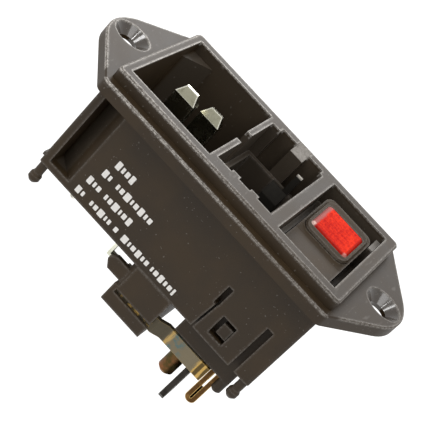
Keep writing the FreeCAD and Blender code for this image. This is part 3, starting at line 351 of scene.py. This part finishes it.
def clear_lens(name, box, base, painted_highlight, rim):
    """Clear red window over a plate of small prisms, mottled inside with painted highlights and a faint painted
    glow. The box is the window's own.

    Its moulded rim is dark red on three sides and greyish pink on the inlet's side, with corners painted pale as
    highlights."""
    g = Graph.of_material(name)
    x, y, z = g.axes()
    low, high = box
    mid_x, mid_y = (low[0] + high[0]) / 2, (low[1] + high[1]) / 2
    half_x, half_y = (high[0] - low[0]) / 2, (high[1] - low[1]) / 2
    pitch = 2 * math.pi / (PRISM_PITCH * MM)
    drift = g.noise(1100.0, 2.0, 0.6) * 9.0
    grid = g.largest(g.maths("SINE", x * pitch + drift), g.maths("SINE", y * pitch + drift))
    veil = g.noise(1500.0, 3.0, 0.65)
    clouds = g.fade(g.noise(330.0, 1.0, 0.5), 0.4, 0.6)
    # mottled painted highlights where the prisms catch the light
    glow = g.fade(grid, 0.2, 1.0) * 0.25 + g.fade(veil, 0.42, 0.62) * 0.4 + clouds * 0.35
    shade = g.blend_colour(g.smallest(glow, 1.0), colour(base), colour(painted_highlight))

    ragged = veil * (0.3 * MM)
    off_x, off_y = abs(x - mid_x) + ragged, abs(y - mid_y) + ragged
    edges = g.largest(g.past(off_x, WINDOW_EDGE, half_x), g.past(off_y, WINDOW_EDGE, half_y))
    painted_corner_highlights = g.past(off_x, WINDOW_CORNER, half_x) * g.past(off_y, WINDOW_CORNER, half_y)
    inlet_end = g.short_of(x + veil * (0.6 * MM), WINDOW_PALE_END, low[0])
    near_inlet = g.short_of(x, (-1.0, 0.0), mid_x) * g.short_of(y, (-1.0, 0.0), mid_y)
    shade = g.blend_colour(edges * 0.6, shade, colour(base, 0.35))
    shade = g.blend_colour(inlet_end * 0.8, shade, colour(rim))
    # pale corners: painted highlights, strongest at the inlet's corner
    shade = g.blend_colour(painted_corner_highlights * (0.25 + 0.5 * near_inlet), shade, colour((0.85, 0.62, 0.55)))
    return g.surface(Base_Color=shade, Roughness=0.45 + veil * 0.15, Specular_IOR_Level=0.06,
                     # faint emission: painted glow
                     Emission_Color=shade, Emission_Strength=0.12,
                     Normal=g.bump(grid, 0.12, 0.05 * MM))


def clear_glass(name):
    g = Graph.of_material(name)
    haze = g.noise(900.0, 2.0)
    shade = g.blend_colour(haze, colour((0.9, 0.88, 0.85)), colour((0.75, 0.72, 0.7)))
    return g.surface(Base_Color=shade, Roughness=0.05 + haze * 0.06, Transmission_Weight=0.85, IOR=1.5)


def marking_ink(name, base):
    """Pad-printed ink: chalky and a little thin in places."""
    g = Graph.of_material(name)
    thin = g.fade(g.noise(1600.0, 3.0, 0.6), 0.55, 0.8)
    return g.surface(Base_Color=g.blend_colour(thin * 0.45, colour(base), colour((0.35, 0.33, 0.31))),
                     Roughness=0.6, Normal=g.bump(g.noise(3000.0), 0.15, 0.02 * MM))


def dress(material, *names):
    for name in names:
        mesh = NODES[name].data
        mesh.materials.clear()
        mesh.materials.append(material)


# ---- modelling helpers ----
def nothing_selected():
    if bpy.context.object and bpy.context.object.mode != "OBJECT":
        bpy.ops.object.mode_set(mode="OBJECT")
    bpy.ops.object.select_all(action="DESELECT")


def keep_in_place(piece, name, material, body):
    """Apply the object's place to its mesh, name it, give it its finish and let it ride on a body."""
    nothing_selected()
    piece.select_set(True)
    bpy.context.view_layer.objects.active = piece
    bpy.ops.object.transform_apply(location=True, rotation=True, scale=True)
    piece.name = name
    piece.data.name = name
    piece.data.materials.clear()
    piece.data.materials.append(material)
    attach(piece, body)
    return piece


# ---- settings ----
class StudioSettings(bpy.types.PropertyGroup):
    floor_drop: bpy.props.FloatProperty(
        name="Floor drop", description="Height of the socket above the floor", default=0.2, unit="LENGTH")
    lens: bpy.props.FloatProperty(
        name="Lens", description="Focal length of the camera in millimetres", default=123.95)
    sky: bpy.props.FloatProperty(
        name="Sky", description="Strength of the soft light from all round", default=0.5)
    key: bpy.props.FloatProperty(name="Key", description="Power of the large lamp in watts", default=1.8)
    back: bpy.props.FloatProperty(name="Back", description="Power of the lamp behind, in watts", default=2.2)
    spot: bpy.props.FloatProperty(name="Spot", description="Power of the small lamp in watts", default=0.5)
    glint: bpy.props.FloatProperty(
        name="Glint", description="Power of the small lamp at the left, in watts", default=1.6)


class FinishSettings(bpy.types.PropertyGroup):
    plastic: bpy.props.FloatVectorProperty(
        name="Plastic", description="Colour of the moulded plastic",
        default=(0.0235, 0.0138, 0.0050), subtype="COLOR")
    # paler tone inside the cavities: painted light lifting their shade
    painted_fill_plastic: bpy.props.FloatVectorProperty(
        name="Dusty plastic", description="Colour inside the cavities",
        default=(0.048, 0.037, 0.026), subtype="COLOR")
    # pale colour of rubbed edges, also used for painted highlights and glints
    pale_wear_and_highlight_plastic: bpy.props.FloatVectorProperty(
        name="Worn plastic", description="Colour of rubbed edges", default=(0.78, 0.74, 0.69), subtype="COLOR")
    lens_red: bpy.props.FloatVectorProperty(
        name="Lens", description="Colour of the rocker's window", default=(0.50, 0.008, 0.004), subtype="COLOR")
    # colour of the painted highlights on the window's prisms
    lens_painted_glow: bpy.props.FloatVectorProperty(
        name="Lens glow", description="Colour where the prisms catch the light",
        default=(0.88, 0.040, 0.012), subtype="COLOR")
    lens_rim: bpy.props.FloatVectorProperty(
        name="Lens rim", description="Colour of the window's edge", default=(0.42, 0.17, 0.16), subtype="COLOR")
    ink: bpy.props.FloatVectorProperty(
        name="Ink", description="Colour of the marking on the side", default=(0.80, 0.78, 0.75), subtype="COLOR")


class MarkingSettings(bpy.types.PropertyGroup):
    corner: bpy.props.FloatProperty(
        name="Corner", description="Radius of a printed block's corners", default=0.12 * MM, unit="LENGTH")
    ink_thickness: bpy.props.FloatProperty(
        name="Ink thickness", description="Thickness of the printed layer", default=0.015 * MM, unit="LENGTH")


# ---- operators ----
# Lamps: name, place and size in metres, the setting that gives their power, and their share of it.
LAMPS = (
    ("key_lamp", (0.30, -0.34, 0.62), 0.42, "key", 1.0),
    ("side_lamp", (-0.55, -0.35, 0.25), 0.4, "key", 0.35),
    ("back_lamp", (-0.16, 0.67, 0.36), 0.30, "back", 1.0),
    ("spot_lamp", (-0.10, -0.40, 0.75), 0.06, "spot", 1.0),
    ("glint_lamp", (-0.47, -0.29, 0.72), 0.2, "glint", 1.0),
)
FLOOR_SIZE = 6.0
CAMERA_PLACE = (19.8, -205.3, 104.1)    # in millimetres
CAMERA_RIGHT = (0.677, 0.399, 0.618)    # directions of the picture's right, its bottom and its depth
CAMERA_DOWN = (0.732, -0.271, -0.625)
CAMERA_AHEAD = (-0.082, 0.876, -0.476)


class INLET_OT_stage(bpy.types.Operator):
    """Add the floor, the sky, the lamps and the camera"""
    bl_idname = "inlet.stage"
    bl_label = "Studio"

    def execute(self, context):
        settings = context.scene.inlet_studio
        nothing_selected()
        bpy.ops.mesh.primitive_plane_add(size=FLOOR_SIZE, location=(0, 0, -settings.floor_drop))
        floor = context.object
        floor.name = "floor"
        floor.data.materials.append(self.white_floor("floor_white"))
        self.sky(context.scene, settings.sky)
        for name, place, size, setting, share in LAMPS:
            self.lamp(context, name, place, size, getattr(settings, setting) * share)
        self.camera(context, settings.lens)
        return {"FINISHED"}

    @staticmethod
    def seen_directly(g):
        """1 for what the camera sees, also in a reflection or through glass, and 0 for light on the object."""
        path = g.add("ShaderNodeLightPath")
        camera, glossy, through = g.outputs_of(path, "Is Camera Ray", "Is Glossy Ray", "Is Transmission Ray")
        return g.largest(g.largest(camera, glossy), through)

    def white_floor(self, name):
        """Floor that is white to the eye and in reflections, with the soft shadow kept."""
        g = Graph.of_material(name)
        diffuse = g.add("ShaderNodeBsdfDiffuse", None, {"Color": colour((0.9, 0.9, 0.9))})
        glow = g.add("ShaderNodeEmission", None, {"Color": colour((1, 1, 1)), "Strength": 0.75})
        lift = g.add("ShaderNodeEmission", None, {"Strength": 0.35})
        shown = g.mix_shaders(0.5 * self.seen_directly(g), diffuse, glow)
        lifted = g.mix_shaders(self.seen_directly(g), None, lift)
        return g.finish(g.add("ShaderNodeAddShader", None, {0: shown, 1: lifted}))

    def sky(self, scene, strength):
        """Soft light from all round that looks plain white."""
        g = Graph(bpy.data.worlds.new("soft_sky"))
        light = g.add("ShaderNodeBackground", None,
                      {"Color": colour((1.0, 0.99, 0.97)), "Strength": strength})
        white = g.add("ShaderNodeBackground", None, {"Color": colour((1, 1, 1)), "Strength": 1.0})
        mixed = g.mix_shaders(self.seen_directly(g), light, white)
        scene.world = g.finish(mixed, "ShaderNodeOutputWorld")

    @staticmethod
    def lamp(context, name, place, size, power):
        bpy.ops.object.light_add(type="AREA", location=place)
        lamp = context.object
        lamp.name = name
        lamp.data.size = size
        lamp.data.energy = power
        lamp.rotation_euler = (-Vector(place)).to_track_quat("-Z", "Y").to_euler()

    @staticmethod
    def camera(context, lens):
        bpy.ops.object.camera_add()
        camera = context.object
        camera.name = "camera"
        right, down, ahead = (Vector(v).normalized() for v in (CAMERA_RIGHT, CAMERA_DOWN, CAMERA_AHEAD))
        turn = Matrix((right, -down, -ahead)).transposed()
        camera.matrix_world = Matrix.Translation(Vector(CAMERA_PLACE) * MM) @ turn.to_4x4()
        camera.data.lens = lens
        camera.data.sensor_width = 36.0
        camera.data.clip_start = 0.01
        context.scene.camera = camera
        context.scene.view_settings.view_transform = "Standard"


class INLET_OT_mouldings(bpy.types.Operator):
    """Finish the moulded plastic pieces"""
    bl_idname = "inlet.mouldings"
    bl_label = "Mouldings"

    def execute(self, context):
        finish = context.scene.inlet_finish
        plastic, painted_fill, pale_wear_and_highlight = finish.plastic, finish.painted_fill_plastic, finish.pale_wear_and_highlight_plastic
        dress(housing_plastic("black_moulding", plastic, painted_fill, pale_wear_and_highlight), "housing")
        # the holder and the switch base are paler above a height: painted light lifting the shade inside
        dress(moulded_plastic("holder_moulding", colour(plastic, 1.1), pale_wear_and_highlight, wear=0.08, rough=0.5,
                              painted_fill=painted_fill, painted_fill_above=-16.9 * MM), "fuse_holder")
        # the switch base is paler all over above 2.7 mm
        dress(moulded_plastic("switch_moulding", colour(plastic, 0.9), pale_wear_and_highlight, wear=0.08, rough=0.5,
                              painted_fill=painted_fill, painted_fill_above=-6.0 * MM, paler_above=2.7 * MM), "switch_base")
        return {"FINISHED"}


# Stamped and turned metals and their nodes. A cut edge is brighter, over a width in millimetres.
METALS = {
    # the pins' nickel is darkened as painted shade on their shafts, and its wide near-white cut edges are
    # painted highlights on the tips' facets
    "nickel_painted_shade_and_highlight": (dict(base=(0.34, 0.33, 0.25), dark=(0.20, 0.19, 0.13), rough=0.2,
                          cut=(0.95, 0.93, 0.82), tarnished=0.4, edge_width=0.4),
                     ("earth_pin", "line_pin", "neutral_pin")),
    "tinned_link": (dict(base=(0.82, 0.82, 0.70), dark=(0.62, 0.63, 0.50), rough=0.35,
                         cut=(0.82, 0.82, 0.70)),
                    ("line_link", "neutral_link")),
    "bare_brass": (dict(base=(0.36, 0.20, 0.065), dark=(0.085, 0.042, 0.015), rough=0.34,
                        cut=(0.72, 0.50, 0.18), tarnished=1.0),
                   ("line_folded_terminal", "line_middle_terminal", "neutral_middle_terminal",
                    "line_contact_arm", "neutral_contact_arm")),
    # near-black strip for the lamp's terminal
    "near_black_strip": (dict(base=(0.045, 0.04, 0.035), dark=(0.02, 0.018, 0.015), rough=0.45,
                             cut=(0.16, 0.15, 0.13)),
                        ("lamp_terminal",)),
    "bare_copper": (dict(base=(0.26, 0.10, 0.045), dark=(0.07, 0.06, 0.02), rough=0.38,
                         cut=(0.4, 0.22, 0.08), tarnished=0.8),
                    ("neutral_stud_terminal",)),
    "silver_contact": (dict(base=(0.78, 0.78, 0.77), dark=(0.5, 0.5, 0.48), rough=0.25,
                            cut=(0.78, 0.78, 0.77)),
                       ("line_moving_contact", "neutral_moving_contact",
                        "line_fixed_contact", "neutral_fixed_contact")),
    "spring_steel": (dict(base=(0.48, 0.48, 0.49), dark=(0.3, 0.3, 0.3), rough=0.3,
                          cut=(0.48, 0.48, 0.49)),
                     ("line_plunger", "neutral_plunger", "line_plunger_spring", "neutral_plunger_spring")),
}


class INLET_OT_metalwork(bpy.types.Operator):
    """Finish the pins, strips, contacts, springs and terminals"""
    bl_idname = "inlet.metalwork"
    bl_label = "Metalwork"

    def execute(self, context):
        for name, (look, nodes) in METALS.items():
            dress(struck_metal(name, **look), *nodes)
        # the fuse contacts are darkened as painted shade, with a painted glint above 1.35 mm
        dress(contact_leaf_painted_shade("contact_plate_painted_shade", base=(0.045, 0.040, 0.033), painted_highlight=(0.85, 0.80, 0.72),
                           glint_above=1.35 * MM), "line_fuse_contact", "neutral_fuse_contact")
        dress(soldered_strip("tin_plate", base=(0.185, 0.155, 0.10), gold=(0.66, 0.43, 0.125),
                             stain=(0.07, 0.15, 0.16)), "line_busbar", "neutral_busbar")
        return {"FINISHED"}


class INLET_OT_switch_finish(bpy.types.Operator):
    """Finish the rocker, its window, the lamp and the resistor"""
    bl_idname = "inlet.switch_finish"
    bl_label = "Switch"

    def execute(self, context):
        finish = context.scene.inlet_finish
        dress(moulded_plastic("rocker_moulding", colour(finish.plastic, 1.3), finish.pale_wear_and_highlight_plastic,
                              wear=0.12, rough=0.56), "rocker")
        dress(clear_lens("red_window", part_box("rocker_lens"), finish.lens_red, finish.lens_painted_glow,
                         finish.lens_rim), "rocker_lens")
        dress(clear_glass("lamp_envelope"), "lamp")
        dress(marking_ink("resistor_lacquer", (0.5, 0.4, 0.28)), "lamp_resistor")
        return {"FINISHED"}


# Rows of the side marking, in millimetres: the middle's height above the seat plane and the height of the
# blocks, then where each group of blocks starts and ends.
MARKING_ROWS = (
    (-7.3, 1.45, ((-13.9, -10.2),)),
    (-9.9, 1.35, ((-14.6, -12.5), (-11.7, -3.9))),
    (-12.6, 1.35, ((-15.7, -12.9), (-12.0, -6.3))),
    (-15.2, 1.25, ((-16.1, -13.9), (-13.0, -8.6), (-7.7, -7.0), (-5.9, -0.2), (0.5, 5.6))),
)
BLOCK_WIDTHS = (0.85, 0.5, 0.7, 1.05, 0.4, 0.75)        # of the blocks in a group, in turn
BLOCK_GAP = 0.3
NARROWEST_BLOCK = 0.3
LOW_BLOCK = 0.7                                         # share of the height, for two blocks in three


def blocks_of_rows():
    """(middle, height above the seat, width, height) of each printed block, in metres."""
    for z, high, groups in MARKING_ROWS:
        for first, (start, end) in enumerate(groups):
            i = first
            while end - start > NARROWEST_BLOCK:
                wide = min(BLOCK_WIDTHS[i % len(BLOCK_WIDTHS)], end - start)
                share = LOW_BLOCK if i % 3 else 1.0
                yield (start + wide / 2) * MM, z * MM, wide * MM, high * share * MM
                start += wide + BLOCK_GAP
                i += 1


class INLET_OT_side_marking(bpy.types.Operator):
    """Print rows of plain blocks on the near wall"""
    bl_idname = "inlet.side_marking"
    bl_label = "Side marking"

    def execute(self, context):
        settings = context.scene.inlet_marking
        ink = marking_ink("marking_ink", context.scene.inlet_finish.ink)
        blocks = [self.block(context, settings, *place) for place in blocks_of_rows()]
        nothing_selected()
        for block in blocks:
            block.select_set(True)
        context.view_layer.objects.active = blocks[0]
        bpy.ops.object.join()
        keep_in_place(context.object, "side_marking", ink, HOUSING_BODY)
        return {"FINISHED"}

    @staticmethod
    def block(context, settings, x, z, wide, high):
        """One printed block with rounded corners, half sunk in the wall so that only its face shows."""
        bpy.ops.mesh.primitive_cube_add(size=1.0, location=(x, WALL_Y, z))
        block = context.object
        block.scale = (wide, settings.ink_thickness * 2, high)
        bpy.ops.object.transform_apply(location=False, rotation=False, scale=True)
        bevel = block.modifiers.new("round_corners", "BEVEL")
        bevel.width = settings.corner
        bevel.segments = 2
        bevel.limit_method = "WEIGHT"
        weights = block.data.attributes.new("bevel_weight_edge", "FLOAT", "EDGE")
        for edge in block.data.edges:
            a, b = (block.data.vertices[i].co for i in edge.vertices)
            runs_inwards = abs(a.y - b.y) > 1e-7
            weights.data[edge.index].value = 1.0 if runs_inwards else 0.0
        bpy.ops.object.modifier_apply(modifier="round_corners")
        return block


class INLET_PT_panel(bpy.types.Panel):
    """Buttons that build the dressed socket"""
    bl_idname = "INLET_PT_panel"
    bl_label = "Panel inlet socket"
    bl_space_type = "VIEW_3D"
    bl_region_type = "UI"
    bl_category = "Inlet"

    def draw(self, context):
        for operator in OPERATORS:
            self.layout.operator(operator.bl_idname)


OPERATORS = (INLET_OT_stage, INLET_OT_mouldings, INLET_OT_metalwork, INLET_OT_switch_finish,
             INLET_OT_side_marking)
SETTINGS = {"inlet_studio": StudioSettings, "inlet_finish": FinishSettings, "inlet_marking": MarkingSettings}


def register():
    for cls in (*SETTINGS.values(), *OPERATORS, INLET_PT_panel):
        bpy.utils.register_class(cls)
    for name, cls in SETTINGS.items():
        setattr(bpy.types.Scene, name, bpy.props.PointerProperty(type=cls))


def unregister():
    for name in SETTINGS:
        delattr(bpy.types.Scene, name)
    for cls in (INLET_PT_panel, *OPERATORS, *SETTINGS.values()):
        bpy.utils.unregister_class(cls)


def main():
    register()
    for operator in OPERATORS:
        category, name = operator.bl_idname.split(".")
        getattr(getattr(bpy.ops, category), name)()


if __name__ == "__main__":
    main()
